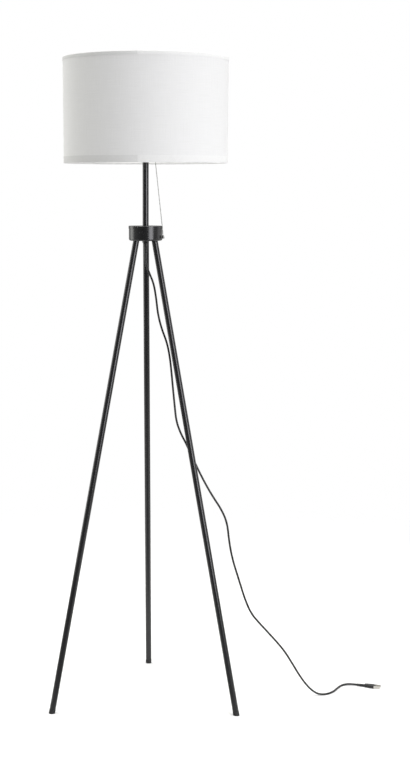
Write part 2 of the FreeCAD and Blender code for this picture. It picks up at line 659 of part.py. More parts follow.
def wall_outline(outer_below, outer_above, thick, low, high):
    """A thin slightly tapered wall between two heights of the shade."""
    return [(f"{outer_below} - ({thick})", low), (outer_below, low),
            (outer_above, high), (f"{outer_above} - ({thick})", high)]


def shade_radius(level):
    """The trim's outside radius at a level of the shade, as an expression."""
    return f"(shade_bottom_radius + (shade_top_radius - shade_bottom_radius) * ({level}) / shade_high)"


def make_shade():
    """Cover, liner, trims, the top hoop with its spider, and the bottom hoop."""
    base = "shade_top_z - shade_high"
    low, high = shade_radius(0), shade_radius("shade_high")
    cover = "trim_thick"
    liner = "trim_thick + fabric_thick"
    keep("shade_fabric", turned("shade_fabric", wall_outline(
        f"{low} - {cover}", f"{high} - {cover}", "fabric_thick", 0, "shade_high"), height=base))
    keep("shade_liner", turned("shade_liner", wall_outline(
        f"{low} - ({liner})", f"{high} - ({liner})", "liner_thick", 0, "shade_high"), height=base))
    band = "trim_bottom_high"
    keep("trim_bottom", turned("trim_bottom", wall_outline(
        low, shade_radius(band), "trim_thick", 0, band), height=base))
    start = "shade_high - trim_top_high"
    keep("trim_top", turned("trim_top", wall_outline(
        shade_radius(start), high, "trim_thick", start, "shade_high"), height=base))
    inner = size(f"{low} - ({liner}) - liner_thick - ring_wire - 0.05")
    hoop = doc.addObject("Part::Torus", "bottom_hoop")
    hoop.Radius1 = inner
    hoop.setExpression("Radius2", bound("ring_wire"))
    raise_to(hoop, f"{base} + ring_wire + 0.5")
    keep("bottom_hoop", hoop)
    keep("top_frame", make_top_frame(size(f"{high} - ({liner}) - liner_thick - ring_wire - 0.05")))


def make_top_frame(hoop_radius):
    """The top hoop welded to a spider of three dropped arms round a washer."""
    hoop_z = size("shade_top_z - ring_wire - 0.5")
    hub_z = size("shade_top_z - spider_drop")
    hoop = Part.makeTorus(hoop_radius, size("ring_wire"), Vector(0, 0, hoop_z))
    washer = Part.makeCylinder(13, 1.5, Vector(0, 0, hub_z - 0.5))
    shapes = [washer]
    for azimuth in (90, 210, 330):
        points = [(9, 0, hub_z + 0.25), (hoop_radius - 18, 0, hub_z + 0.25),
                  (hoop_radius - 2, 0, hub_z + 12), (hoop_radius - 2, 0, hoop_z)]
        arm = checked_bar("spider_arm", points, size("arm_wire"), 12)
        arm.rotate(Vector(), Vector(0, 0, 1), azimuth)
        shapes.append(arm)
    whole = hoop.fuse(shapes)
    hole = Part.makeCylinder(3.3, 12, Vector(0, 0, hub_z - 6))
    return formed("top_frame", whole.cut(hole))


# ---------------------------------------------------------------- mains cord

def make_cord():
    """Strain relief, the lead up the stem, the free cord and its plug."""
    relief = turned("cord_relief", [
        ("cord_radius + 0.05", 0), (3.4, 0), (4.6, "relief_long - 2"), (5.6, "relief_long - 2"),
        (5.6, "relief_long"), ("pipe_bore - 0.02", "relief_long"), ("pipe_bore - 0.02", "relief_long + 8"),
        ("cord_radius + 0.05", "relief_long + 8")], height="hub_z - pipe_below - relief_long")
    keep("cord_relief", relief)
    entry = CORD_ROUTE[0][2]
    keep("inner_lead", rod("inner_lead", "cord_radius", f"core_z - 4 - {entry}",
                           Placement(Vector(0, 0, entry), Rotation())))
    cord = checked_bar("power_cord", CORD_ROUTE, size("cord_radius"))
    keep("power_cord", formed("power_cord", cord))
    last, before = Vector(*CORD_ROUTE[-1]), Vector(*CORD_ROUTE[-2])
    heading = math.degrees(math.atan2(last.y - before.y, last.x - before.x))
    along = Placement(last, Rotation(Vector(0, 0, 1), heading))
    tip = along.multiply(Placement(Vector(), Rotation(Vector(0, 1, 0), 90)))
    cone = doc.addObject("Part::Cone", "plug_relief")
    cone.Radius1 = 2.55
    cone.Radius2 = 3.6
    cone.Height = RELIEF_LONG
    cone.Placement = tip
    keep("plug_relief", cone)
    grip = block("plug_grip", (RELIEF_LONG, -8.5, -3.6), (RELIEF_LONG + PLUG_LONG, 8.5, 5.4), along)
    rounded = doc.addObject("Part::Fillet", "plug_body")
    doc.recompute()
    rounded.Base = grip
    rounded.Edges = [(i + 1, 2.2, 2.2) for i, _ in enumerate(grip.Shape.Edges)]
    keep("plug_body", rounded)
    face = RELIEF_LONG + PLUG_LONG
    blades = [block(f"plug_blade_{end + 1}", (face, end * 6.35 - 0.75, -2.3),
                    (face + BLADE_LONG, end * 6.35 + 0.75, 4.1), along)
              for end in (-1, 1)]
    keep("plug_blades", group("plug_blades", blades))


# ---------------------------------------------------------------- finish

CORD_PIECES = ("power_cord", "plug_relief", "plug_body", "plug_blades")


def centre_footprint():
    """Move everything so that the box of the lamp without its free cord is centred on the origin."""
    box = FreeCAD.BoundBox()
    for node, piece in parts.items():
        if node not in CORD_PIECES:
            box.add(piece.Shape.optimalBoundingBox(False))
    offset = Vector(-box.Center.x, -box.Center.y, 0)
    for piece in parts.values():
        piece.Placement = Placement(offset, Rotation()).multiply(piece.Placement)
    print(f"stem axis at {offset.x:.4f}, {offset.y:.4f}; lowest point {box.ZMin:.4f}; top {box.ZMax:.3f}")
    doc.recompute()


def check_and_export():
    """Stop on any failed object or bad solid, then write each node's STEP file."""
    for thing in doc.Objects:
        if "Invalid" in thing.State or "Error" in thing.State:
            raise ValueError(f"{thing.Name} failed: {thing.State}")
    os.makedirs("parts", exist_ok=True)
    for node, piece in parts.items():
        shape = piece.Shape
        if shape.isNull() or not shape.isValid() or not shape.Solids:
            raise ValueError(f"{node} has no valid solid")
        shape.exportStep(f"parts/{node}.step")
    print(len(parts), "nodes written")


fill_sheet()
LEAN = math.degrees(math.atan2(size("leg_foot_radius - leg_hub_radius"), size("hub_z")))
make_legs()
make_hub()
make_stem()
make_socket()
make_switch()
make_chain()
make_harp()
make_bulb()
make_shade()
make_cord()
doc.recompute()
centre_footprint()
check_and_export()
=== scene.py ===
"""Tripod floor lamp with a drum shade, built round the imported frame. Metres, +Z up, -Y to the front."""
import json
import math
import bmesh
import bpy
from mathutils import Matrix, Vector


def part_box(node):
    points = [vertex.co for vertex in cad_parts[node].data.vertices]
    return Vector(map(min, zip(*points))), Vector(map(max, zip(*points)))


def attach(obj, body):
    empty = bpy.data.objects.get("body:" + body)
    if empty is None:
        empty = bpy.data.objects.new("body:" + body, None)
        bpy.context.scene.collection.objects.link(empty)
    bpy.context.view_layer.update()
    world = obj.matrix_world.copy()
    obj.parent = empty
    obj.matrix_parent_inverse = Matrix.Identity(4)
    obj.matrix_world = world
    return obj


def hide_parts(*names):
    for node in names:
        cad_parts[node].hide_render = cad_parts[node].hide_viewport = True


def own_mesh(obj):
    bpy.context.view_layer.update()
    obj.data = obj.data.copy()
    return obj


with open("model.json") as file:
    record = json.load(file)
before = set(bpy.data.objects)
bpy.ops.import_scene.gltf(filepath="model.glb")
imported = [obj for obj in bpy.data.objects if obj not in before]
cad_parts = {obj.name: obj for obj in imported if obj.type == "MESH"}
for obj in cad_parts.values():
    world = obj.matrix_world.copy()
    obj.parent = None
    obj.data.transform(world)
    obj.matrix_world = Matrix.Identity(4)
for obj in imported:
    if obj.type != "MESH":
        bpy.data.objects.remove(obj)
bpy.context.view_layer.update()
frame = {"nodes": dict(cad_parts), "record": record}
MM = 0.001


def middle(name):
    """The centre of a CAD node's box."""
    low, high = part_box(name)
    return (low + high) / 2


STEM = Vector((middle("stem_tube").x, middle("stem_tube").y, 0))   # the stem's axis on the floor
CHAIN_AZIMUTH = math.radians(-22)                                    # the side the chain hangs on
SEAM_AZIMUTH = math.radians(-95.4)                                   # the shade's seam, near the front

# The mains cord's route from the strain relief to the plug, mm from the stem's axis.
CORD_ROUTE = [
    (0, 0, 1121), (0, 0, 1100), (8, -2, 1078), (20, -4, 1050), (26, -8, 1013), (30, -13, 976),
    (39, -18, 941), (52, -25, 908), (59, -30, 874), (63, -36, 838), (67, -42, 794), (71, -46, 754),
    (75, -49, 716), (86, -51, 686), (98, -53, 664), (109, -54, 640), (121, -55, 614), (139, -54, 576),
    (162, -52, 534), (188, -48, 494), (202, -44, 460), (207, -40, 414), (216, -35, 366),
    (233, -29, 312), (249, -25, 260), (265, -21, 222), (289, -16, 193), (319, -10, 159),
    (350, -4, 122), (371, -2, 88), (389, 0, 57), (407, 1, 31), (424, 2, 13), (442, 3, 2.6),
    (462, 5, 2.6), (479, 21, 2.6), (490, 40, 2.6), (500, 60, 2.6), (512, 76, 2.6), (531, 81, 3.7),
    (549, 74, 3.7),
]
CORD_RADIUS = 2.5 * MM

# The pull chain: from its stop in the switch to the hub's rim, and down to the pull.
# Each point is (out from the stem's axis along the chain's azimuth, height), mm.
CHAIN_ROUTE = [(20.17, 1390.45), (41.93, 1203.3), (43.6, 1189), (45.6, 1169)]
CHAIN_PITCH = 3.1 * MM


# ---------------------------------------------------------------- shader nodes

def node(tree, kind, inputs=None, **settings):
    """A shader node. inputs maps a socket's name or number to a value or to another node's output."""
    made = tree.nodes.new(kind)
    for key, value in settings.items():
        setattr(made, key, value)
    for key, value in (inputs or {}).items():
        if isinstance(value, bpy.types.NodeSocket):
            tree.links.new(value, made.inputs[key])
        else:
            made.inputs[key].default_value = value
    return made


def math_node(tree, operation, first, second=None):
    inputs = {0: first} if second is None else {0: first, 1: second}
    return node(tree, "ShaderNodeMath", inputs, operation=operation).outputs[0]


def noise(tree, vector, scale, detail=2.0, roughness=0.5):
    inputs = {"Vector": vector, "Scale": scale, "Detail": detail, "Roughness": roughness}
    return node(tree, "ShaderNodeTexNoise", inputs).outputs["Fac"]


def ramp(tree, factor, low, high):
    """Linear blend of two colours by a factor."""
    blend = node(tree, "ShaderNodeMix", {"Factor": factor}, data_type="RGBA")
    blend.inputs[6].default_value = (*low, 1)
    blend.inputs[7].default_value = (*high, 1)
    return blend.outputs[2]


def remap(tree, value, before, after, smooth=False):
    """A value from the range before, clamped to it, as one in the range after."""
    inputs = {"Value": value, "From Min": before[0], "From Max": before[1],
              "To Min": after[0], "To Max": after[1]}
    kind = "SMOOTHSTEP" if smooth else "LINEAR"
    return node(tree, "ShaderNodeMapRange", inputs, interpolation_type=kind).outputs[0]


def spread(tree, factor, low, high):
    """Noise as a value from low to high. Noise mostly lies between 0.3 and 0.7."""
    return remap(tree, factor, (0.3, 0.7), (low, high))


def scaled(tree, color, factor):
    """A colour made lighter or darker by a factor."""
    return node(tree, "ShaderNodeVectorMath", {0: color, "Scale": factor}, operation="SCALE").outputs[0]


def bump(tree, height, depth, strength):
    inputs = {"Height": height, "Distance": depth, "Strength": strength}
    return node(tree, "ShaderNodeBump", inputs).outputs[0]


def material(name, metallic=0.0, **sockets):
    """A Principled material, its tree, its shader and its object coordinates in metres."""
    made = bpy.data.materials.new(name)
    made.use_nodes = True
    tree = made.node_tree
    shader = tree.nodes["Principled BSDF"]
    shader.inputs["Metallic"].default_value = metallic
    for key, value in sockets.items():
        shader.inputs[key.replace("_", " ")].default_value = value
    place = node(tree, "ShaderNodeTexCoord").outputs["Object"]
    return made, tree, shader, place


def finish_of(name, dark, light, rough, grain, depth, metallic, patch, **sockets):
    """A moulded, coated or metal surface: its colour drifts in soft patches, patch to the metre, and
    its gloss varies with them. A fine grain, grain to the metre, lifts the surface by depth mm."""
    made, tree, shader, place = material(name, metallic, **sockets)
    broad = noise(tree, place, patch, 4, 0.6)
    fine = noise(tree, place, grain, 2)
    link = tree.links.new
    link(ramp(tree, spread(tree, broad, 0, 1), dark, light), shader.inputs["Base Color"])
    link(spread(tree, broad, rough - GLOSS_DRIFT, rough + GLOSS_DRIFT), shader.inputs["Roughness"])
    link(bump(tree, fine, depth * MM, 0.6), shader.inputs["Normal"])
    return made


# ---------------------------------------------------------------- materials

GLOSS_DRIFT = 0.02                 # how far a finish's roughness drifts each way


def powder_coat(name, rough):
    """Satin black powder coat: a very fine orange peel under a soft gloss."""
    return finish_of(name, (0.008, 0.008, 0.009), (0.012, 0.012, 0.013), rough, 1500, 0.004, 0, 5,
                     Specular_IOR_Level=0.6)


def band_painted_shading(tree, place, right_painted_light, left_painted_shade, end_painted_shade):
    """Painted light and shade along a band, as a factor on its colour: the first level, a painted
    highlight, from the seam to the shade's right; the second, a painted shade, on its left; the third
    back at the seam. The right turns into the left behind the shade."""
    from_stem = node(tree, "ShaderNodeVectorMath", {0: place, 1: STEM}, operation="SUBTRACT").outputs[0]
    across, deep, _ = node(tree, "ShaderNodeSeparateXYZ", {0: from_stem}).outputs
    azimuth = math_node(tree, "SUBTRACT", math_node(tree, "ARCTAN2", deep, across), SEAM_AZIMUTH)
    share = math_node(tree, "FRACT", math_node(tree, "DIVIDE", azimuth, math.tau))
    # painted shade on the band's left, painted highlight on its right
    painted_level = remap(tree, share, (0.3, 0.7), (right_painted_light, left_painted_shade), smooth=True)
    return math_node(tree, "ADD", painted_level, remap(tree, share, (0.92, 1.0), (0.0, end_painted_shade - left_painted_shade)))


def woven_fabric(name, pitch, turn, dark, light, painted_light_and_shade=None):
    """Plain weave of uneven yarns, a pitch apart. The mesh's UV map is in metres, round and up the shade.
    The optional three levels paint light and shade on a band: a painted highlight at its start, painted
    shade on the left, and a level at its end."""
    made, tree, shader, place = material(name, Sheen_Weight=0.12, Sheen_Roughness=0.5, Roughness=0.92,
                                         Specular_IOR_Level=0.25)
    flat = node(tree, "ShaderNodeUVMap", uv_map="metres").outputs[0]
    laid = node(tree, "ShaderNodeMapping", {"Vector": flat, "Rotation": (0, 0, turn)}).outputs[0]
    across, along, _ = node(tree, "ShaderNodeSeparateXYZ", {0: laid}).outputs
    counts, waves = [], []
    for coordinate in (across, along):
        count = math_node(tree, "DIVIDE", coordinate, pitch)
        sine = math_node(tree, "SINE", math_node(tree, "MULTIPLY", count, math.pi))
        counts.append(math_node(tree, "FLOOR", count))
        waves.append(math_node(tree, "ABSOLUTE", sine))
    parity = math_node(tree, "PINGPONG", math_node(tree, "ADD", *counts), 1)
    over = node(tree, "ShaderNodeMix", {"Factor": parity, 2: waves[0], 3: waves[1]}).outputs[0]
    slubs = []
    for stretch in ((18, 900, 1), (900, 18, 1)):     # thick places, long one way and thin the other
        drawn = node(tree, "ShaderNodeVectorMath", {0: laid, 1: stretch}, operation="MULTIPLY")
        slubs.append(noise(tree, drawn.outputs[0], 1, 3, 0.6))
    slub = math_node(tree, "MULTIPLY", math_node(tree, "ADD", *slubs), 0.5)
    height = math_node(tree, "ADD", math_node(tree, "MULTIPLY", over, 0.6), slub)
    tint = math_node(tree, "ADD", math_node(tree, "MULTIPLY", over, 0.25), spread(tree, slub, 0, 0.75))
    color = ramp(tree, tint, dark, light)
    # painted light and shade: the band's colour is made lighter on the shade's right and darker on its
    # left
    if painted_light_and_shade:
        color = scaled(tree, color, band_painted_shading(tree, place, *painted_light_and_shade))
    tree.links.new(color, shader.inputs["Base Color"])
    tree.links.new(bump(tree, height, 0.18 * MM, 0.5), shader.inputs["Normal"])
    return made


def frosted_glass(name):
    """A bulb's white glass, a little uneven in its coating."""
    made, tree, shader, place = material(name, Roughness=0.45, Transmission_Weight=0.35, IOR=1.5)
    coating = ramp(tree, noise(tree, place, 40, 3), (0.88, 0.88, 0.86), (0.94, 0.94, 0.92))
    tree.links.new(coating, shader.inputs["Base Color"])
    tree.links.new(bump(tree, noise(tree, place, 2500), 0.01 * MM, 0.4), shader.inputs["Normal"])
    return made


def plain_floor(name, clear_radius, fade_radius, front, rear):
    """A pale studio floor that fades out into the backdrop. Like the backdrop, it is dimmer in
    reflections than it shows, and dimmest towards the front."""
    made, tree, shader, place = material(name, Roughness=0.9, Specular_IOR_Level=0.1)
    pale = ramp(tree, noise(tree, place, 3, 2), (0.90, 0.90, 0.90), (0.92, 0.92, 0.92))
    heading = node(tree, "ShaderNodeVectorMath", {0: place}, operation="NORMALIZE").outputs[0]
    rearward = node(tree, "ShaderNodeSeparateXYZ", {0: heading}).outputs["Y"]
    mirrored = remap(tree, rearward, (-1.0, -0.3), (front, rear))
    glossy = node(tree, "ShaderNodeLightPath").outputs["Is Glossy Ray"]
    level = node(tree, "ShaderNodeMix", {"Factor": glossy, 2: 1.0, 3: mirrored}).outputs[0]
    tree.links.new(scaled(tree, pale, level), shader.inputs["Base Color"])
    far = node(tree, "ShaderNodeVectorMath", {0: place}, operation="LENGTH").outputs["Value"]
    fade = remap(tree, far, (clear_radius, fade_radius), (1.0, 0.0), smooth=True)
    tree.links.new(fade, shader.inputs["Alpha"])
    return made


# slot: darkest and lightest colour, roughness, grain to the metre, its depth in mm, metallic, patches
# to the metre
FINISHES = {
    "black_hardware": ((0.015, 0.015, 0.016), (0.03, 0.03, 0.03), 0.4, 1500, 0.02, 0.6, 14),
    "black_rubber": ((0.012, 0.012, 0.012), (0.02, 0.02, 0.02), 0.62, 1800, 0.04, 0, 14),
    "zinc_plated_steel": ((0.5, 0.51, 0.53), (0.64, 0.65, 0.67), 0.32, 900, 0.02, 1, 60),
    "cast_aluminium": ((0.42, 0.43, 0.44), (0.56, 0.57, 0.58), 0.5, 500, 0.12, 1, 30),
    "nickel_plate": ((0.6, 0.58, 0.54), (0.7, 0.68, 0.64), 0.22, 1200, 0.01, 1, 50),
    "white_wire": ((0.78, 0.78, 0.77), (0.84, 0.84, 0.83), 0.3, 900, 0.03, 0, 40),
    "fibre_liner": ((0.3, 0.24, 0.17), (0.4, 0.33, 0.25), 0.75, 700, 0.08, 0, 14),
    "phenolic": ((0.05, 0.028, 0.018), (0.09, 0.05, 0.03), 0.3, 900, 0.02, 0, 80),
    "steatite": ((0.76, 0.74, 0.68), (0.84, 0.82, 0.77), 0.5, 1200, 0.04, 0, 80),
    "brass": ((0.62, 0.45, 0.18), (0.76, 0.58, 0.28), 0.3, 1000, 0.02, 1, 70),
    "ball_chain": ((0.26, 0.26, 0.25), (0.36, 0.36, 0.35), 0.3, 1500, 0.01, 1, 90),
    "gunmetal_plate": ((0.22, 0.22, 0.21), (0.3, 0.3, 0.29), 0.34, 1200, 0.01, 1, 60),
    "bulb_plastic": ((0.8, 0.8, 0.79), (0.86, 0.86, 0.85), 0.42, 900, 0.03, 0, 40),
    "bulb_cap_metal": ((0.62, 0.62, 0.63), (0.74, 0.74, 0.75), 0.3, 900, 0.02, 1, 60),
    "shade_backing": ((0.83, 0.83, 0.82), (0.87, 0.87, 0.86), 0.38, 700, 0.03, 0, 12),
    "black_cord": ((0.009, 0.009, 0.009), (0.016, 0.016, 0.016), 0.36, 1600, 0.03, 0, 25),
}
MATERIALS = {slot: finish_of(slot, *finish) for slot, finish in FINISHES.items()}
MATERIALS["satin_black_steel"] = powder_coat("satin_black_steel", 0.22)
MATERIALS["socket_black"] = powder_coat("socket_black", 0.36)
MATERIALS["opal_glass"] = frosted_glass("opal_glass")
MATERIALS["shade_linen"] = woven_fabric("shade_linen", 0.6 * MM, 0.0, (0.755, 0.755, 0.745),
                                        (0.85, 0.85, 0.845))
# The trim's three levels paint a highlight on the shade's right and shade on its left.
MATERIALS["bias_trim"] = woven_fabric("bias_trim", 0.45 * MM, math.pi / 4, (0.71, 0.71, 0.7),
                                      (0.81, 0.81, 0.8), painted_light_and_shade=(1.09, 0.935, 0.975))

for part in frame["record"]["subparts"]:
    coat = MATERIALS[part["material_slot"]]
    for place in frame["nodes"][part["node"]].material_slots:
        place.material = coat


# ---------------------------------------------------------------- mesh helpers

def put(name, data, coat, body="frame", crease=38):
    """A finished piece: its mesh or curve in the scene, its material and its body."""
    piece = bpy.data.objects.new(name, data)
    bpy.context.scene.collection.objects.link(piece)
    data.materials.append(MATERIALS[coat])
    if isinstance(data, bpy.types.Mesh):
        data.validate()
        data.shade_smooth()
        data.set_sharp_from_angle(angle=math.radians(crease))
    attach(piece, body)
    return piece


def rounded(points, radii, steps=6):
    """A path's points with arcs of the given radii at its inner corners."""
    path = [Vector(points[0])]
    for before, corner, after, radius in zip(points, points[1:], points[2:], radii):
        corner = Vector(corner)
        back, ahead = (Vector(before) - corner).normalized(), (Vector(after) - corner).normalized()
        half = back.angle(ahead) / 2
        centre = corner + (back + ahead).normalized() * radius / math.sin(half)
        first = (corner + back * radius / math.tan(half) - centre).normalized()
        last = (corner + ahead * radius / math.tan(half) - centre).normalized()
        for step in range(steps + 1):
            path.append(centre + first.slerp(last, step / steps) * radius)
    path.append(Vector(points[-1]))
    return path


def strip(path, thickness):
    """A closed outline that follows a path at half its thickness each side."""
    sides = ([], [])
    for i, point in enumerate(path):
        before, after = path[max(i - 1, 0)], path[min(i + 1, len(path) - 1)]
        run = (after - before).normalized()
        normal = Vector((-run.y, run.x)) * thickness / 2
        sides[0].append(point + normal)
        sides[1].append(point - normal)
    return sides[0] + sides[1][::-1]


def even_turns(segments):
    return [math.tau * i / segments for i in range(segments)]


def lathe(name, outline, turns, swell=None, place=None):
    """A closed outline of (radius, height) points turned about the stem's axis, or about the Z axis
    of place, with a section at each azimuth in turns. swell(azimuth, height) is added to the radius.
    The UV map "metres" runs round and up, and a little across the level faces."""
    place = place or Matrix.Translation(STEM)
    count = len(outline)
    points, faces = [], []
    for azimuth in turns:
        for radius, height in outline:
            wide = radius + (swell(azimuth, height) if swell and radius else 0)
            points.append(place @ Vector((wide * math.cos(azimuth), wide * math.sin(azimuth), height)))
    for i in range(len(turns)):
        ahead = (i + 1) % len(turns)
        for j in range(count):
            following = (j + 1) % count
            faces.append((i * count + j, ahead * count + j,
                          ahead * count + following, i * count + following))
    mesh = bpy.data.meshes.new(name)
    mesh.from_pydata(points, [], faces)
    layer = mesh.uv_layers.new(name="metres")
    mean = sum(radius for radius, _ in outline) / count
    for face in mesh.polygons:
        for loop in face.loop_indices:
            ring, index = divmod(mesh.loops[loop].vertex_index, count)
            last_ring = face.vertices[0] // count == len(turns) - 1
            azimuth = math.tau if ring == 0 and last_ring else turns[ring]
            radius, height = outline[index]
            layer.data[loop].uv = (azimuth * mean, height + 0.3 * radius)
    clean(mesh)
    return mesh


def clean(mesh):
    """Join the points that meet on the axis, drop the empty faces that leaves, turn normals out."""
    work = bmesh.new()
    work.from_mesh(mesh)
    bmesh.ops.remove_doubles(work, verts=work.verts, dist=1e-7)
    bmesh.ops.recalc_face_normals(work, faces=work.faces)
    work.to_mesh(mesh)
    work.free()


def nurbs(name, points, radius):
    """A curve through given control points, its ends on the first and the last."""
    curve = bpy.data.curves.new(name, "CURVE")
    curve.dimensions = "3D"
    curve.resolution_u = 12
    curve.bevel_depth = radius
    curve.bevel_resolution = 5
    curve.use_fill_caps = True
    line = curve.splines.new("NURBS")
    line.points.add(len(points) - 1)
    for control, point in zip(line.points, points):
        control.co = (*point, 1)
    line.order_u = 3
    line.use_endpoint_u = True
    return curve


def line_of(curve):
    """The points of a curve's own line."""
    bare = bpy.data.objects.new("line", curve)
    width, curve.bevel_depth = curve.bevel_depth, 0
    bpy.context.scene.collection.objects.link(bare)
    bpy.context.view_layer.update()
    mesh = bpy.data.meshes.new_from_object(bare)
    points = [v.co.copy() for v in mesh.vertices]
    curve.bevel_depth = width
    bpy.data.objects.remove(bare)
    bpy.data.meshes.remove(mesh)
    return points


def along(points, gap):
    """Places a gap apart along a line: (point, direction) pairs."""
    found, left = [], 0.0
    for start, end in zip(points, points[1:]):
        run = end - start
        while left <= run.length and run.length:
            found.append((start + run * left / run.length, run.normalized()))
            left += gap
        left -= run.length
    return found


# ---------------------------------------------------------------- shade

COVER_LOW, COVER_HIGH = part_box("shade_fabric")
LINER_LOW, LINER_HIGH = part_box("shade_liner")
SHADE_HIGH = COVER_HIGH.z - COVER_LOW.z
COVER_RADIUS = (COVER_HIGH.x - COVER_LOW.x) / 2        # outside, at the top
COVER_THICK = COVER_RADIUS - (LINER_HIGH.x - LINER_LOW.x) / 2
LINER_THICK = 0.6 * MM
LINER_GAP = 0.3 * MM                                   # between the cover and its liner
TAPER = 1.25 * MM                                      # how much smaller the bottom's radius is
LAP = 9 * MM                                           # width of the seam's overlap
HEM_THICK = 0.5 * MM
HEM_PROUD = 0.25 * MM                                  # from the cover to the band's middle line
ROLL_DEEP = 5.5 * MM                                   # how far the band reaches in round the hoop
ROLL_HIGH = 4.8 * MM                                   # how far it comes back up inside
ROLL_OVER = 0.35 * MM                                  # how far it stands past the cover's edge
HEM_ROUND = (0.9 * MM, 1.9 * MM, 1.9 * MM)             # its three folds
SHADE_SEGMENTS = 240
TURN_GAP = 0.006                                       # in radians, between the seam and the next section


def cover_radius(height):
    """The cover's outside radius at a height."""
    return COVER_RADIUS - TAPER * (COVER_HIGH.z - height) / SHADE_HIGH


def round_turns():
    """Azimuths round the shade, with a few more across the seam's overlap."""
    shares = (0, 0.25, 0.5, 0.75, 1)
    seam = [SEAM_AZIMUTH + math.tau + LAP / COVER_RADIUS * share for share in shares]
    clear = [a for a in even_turns(SHADE_SEGMENTS) if all(abs(a - s) > TURN_GAP for s in seam)]
    return sorted(clear + seam)


def on_lap(azimuth):
    """1 in the middle of the seam's overlap, sloping to 0 at its edges."""
    share = ((azimuth - SEAM_AZIMUTH) % math.tau) * COVER_RADIUS / LAP
    return max(0, min(1, 4 * min(share, 1 - share)))


def hand_made(azimuth, height):
    """The slight unevenness of a cover stretched by hand, and its lapped seam."""
    wave = 0.16 * math.sin(3 * azimuth + 0.7) + 0.09 * math.sin(7 * azimuth + 18 * height)
    return (wave + 0.06 * on_lap(azimuth)) * MM


def hem_waves(azimuth, height):
    """A band follows the cover, puckers a little, and is thicker at its own lap."""
    pucker = 0.04 * math.sin(61 * azimuth)
    return hand_made(azimuth, height) + (pucker + 0.25 * on_lap(azimuth)) * MM


def make_cover():
    """The woven cover: one sheet rolled into a drum."""
    rows = [COVER_LOW.z + SHADE_HIGH * i / 12 for i in range(13)]
    outline = [(cover_radius(z), z) for z in rows]
    outline += [(cover_radius(z) - COVER_THICK, z) for z in reversed(rows)]
    mesh = lathe("shade_cover", outline, round_turns(), hand_made)
    piece = put("shade_cover", mesh, "shade_linen")
    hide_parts("shade_fabric")
    return piece


def make_liner():
    """The white sheet that the cover is bonded to."""
    rows = [COVER_LOW.z + SHADE_HIGH * i / 6 for i in range(7)]
    outer = [(cover_radius(z) - COVER_THICK - LINER_GAP, z) for z in rows]
    outline = outer + [(radius - LINER_THICK, z) for radius, z in reversed(outer)]
    mesh = lathe("shade_backing", outline, even_turns(SHADE_SEGMENTS))
    piece = put("shade_backing", mesh, "shade_backing")
    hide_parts("shade_liner")
    return piece


def make_hem(name, node_name, edge, inward):
    """A bias strip down the outside, rolled over the edge and round the hoop's wire.
    inward is the way along Z from the edge into the shade."""
    low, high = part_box(node_name)
    band = high.z - low.z
    steps = [(HEM_PROUD, band), (HEM_PROUD, -ROLL_OVER), (-ROLL_DEEP, -ROLL_OVER),
             (-ROLL_DEEP, ROLL_HIGH), (-1.9 * MM, ROLL_HIGH)]
    path = []
    for out, into in steps:
        height = edge + inward * into
        path.append((cover_radius(height) + out, height))
    outline = strip(rounded(path, HEM_ROUND), HEM_THICK)
    piece = put(name, lathe(name, outline, round_turns(), hem_waves), "bias_trim", crease=60)
    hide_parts(node_name)
    return piece


cover = make_cover()
make_liner()
hem_top = make_hem("hem_top", "trim_top", COVER_HIGH.z, -1)
hem_bottom = make_hem("hem_bottom", "trim_bottom", COVER_LOW.z, 1)


# ---------------------------------------------------------------- mains cord and plug

def make_relief():
    """The ribbed strain relief under the hub, with its spigot up the lamp pipe."""
    low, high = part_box("cord_relief")
    bore, tip, neck, spigot, flange = 2.55 * MM, 3.1 * MM, 4.3 * MM, 3.78 * MM, 5.6 * MM
    outline = [(bore, low.z), (tip, low.z)]
    ribs, first, pitch = 6, low.z + 1 * MM, 3.7 * MM
    for rib in range(ribs):
        base = first + rib * pitch
        wide = (3.5 + 0.2 * rib) * MM
        for out, up in ((-0.45, 0), (0, 0.5), (0, 2.3), (-0.45, 2.8)):
            outline.append((wide + out * MM, base + up * MM))
    collar = high.z - 8 * MM            # the collar's top, against the lamp pipe
    under = collar - 2 * MM
    bevel = 0.3 * MM
    outline += [(neck, under), (flange - bevel, under), (flange, under + bevel),
                (flange, collar), (spigot, collar), (spigot, high.z), (bore, high.z)]
    piece = put("ribbed_relief", lathe("ribbed_relief", outline, even_turns(48)), "black_cord")
    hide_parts("cord_relief")
    return piece


def plug_frame():
    """The plug's own axes: X along the last run of the cord, Z up, the origin at the cord's end."""
    last, before = (Vector(p) * MM + STEM for p in (CORD_ROUTE[-1], CORD_ROUTE[-2]))
    heading = math.atan2(last.y - before.y, last.x - before.x)
    return Matrix.Translation(last) @ Matrix.Rotation(heading, 4, "Z")


def loft(name, stations, place, sides=40, square=4.0):
    """A closed skin over superelliptic sections: (along, half width, half height, centre height)."""
    points, faces = [], []
    for reach, wide, high, level in stations:
        for i in range(sides):
            turn = math.tau * i / sides
            cosine, sine = math.cos(turn), math.sin(turn)
            y = wide * math.copysign(abs(cosine) ** (2 / square), cosine)
            z = high * math.copysign(abs(sine) ** (2 / square), sine)
            points.append(place @ Vector((reach, y, level + z)))
    for ring in range(len(stations) - 1):
        for i in range(sides):
            j = (i + 1) % sides
            faces.append((ring * sides + i, ring * sides + j,
                          (ring + 1) * sides + j, (ring + 1) * sides + i))
    faces.append(tuple(range(sides)))
    faces.append(tuple((len(stations) - 1) * sides + i for i in range(sides)))
    mesh = bpy.data.meshes.new(name)
    mesh.from_pydata(points, [], faces)
    clean(mesh)
    return mesh


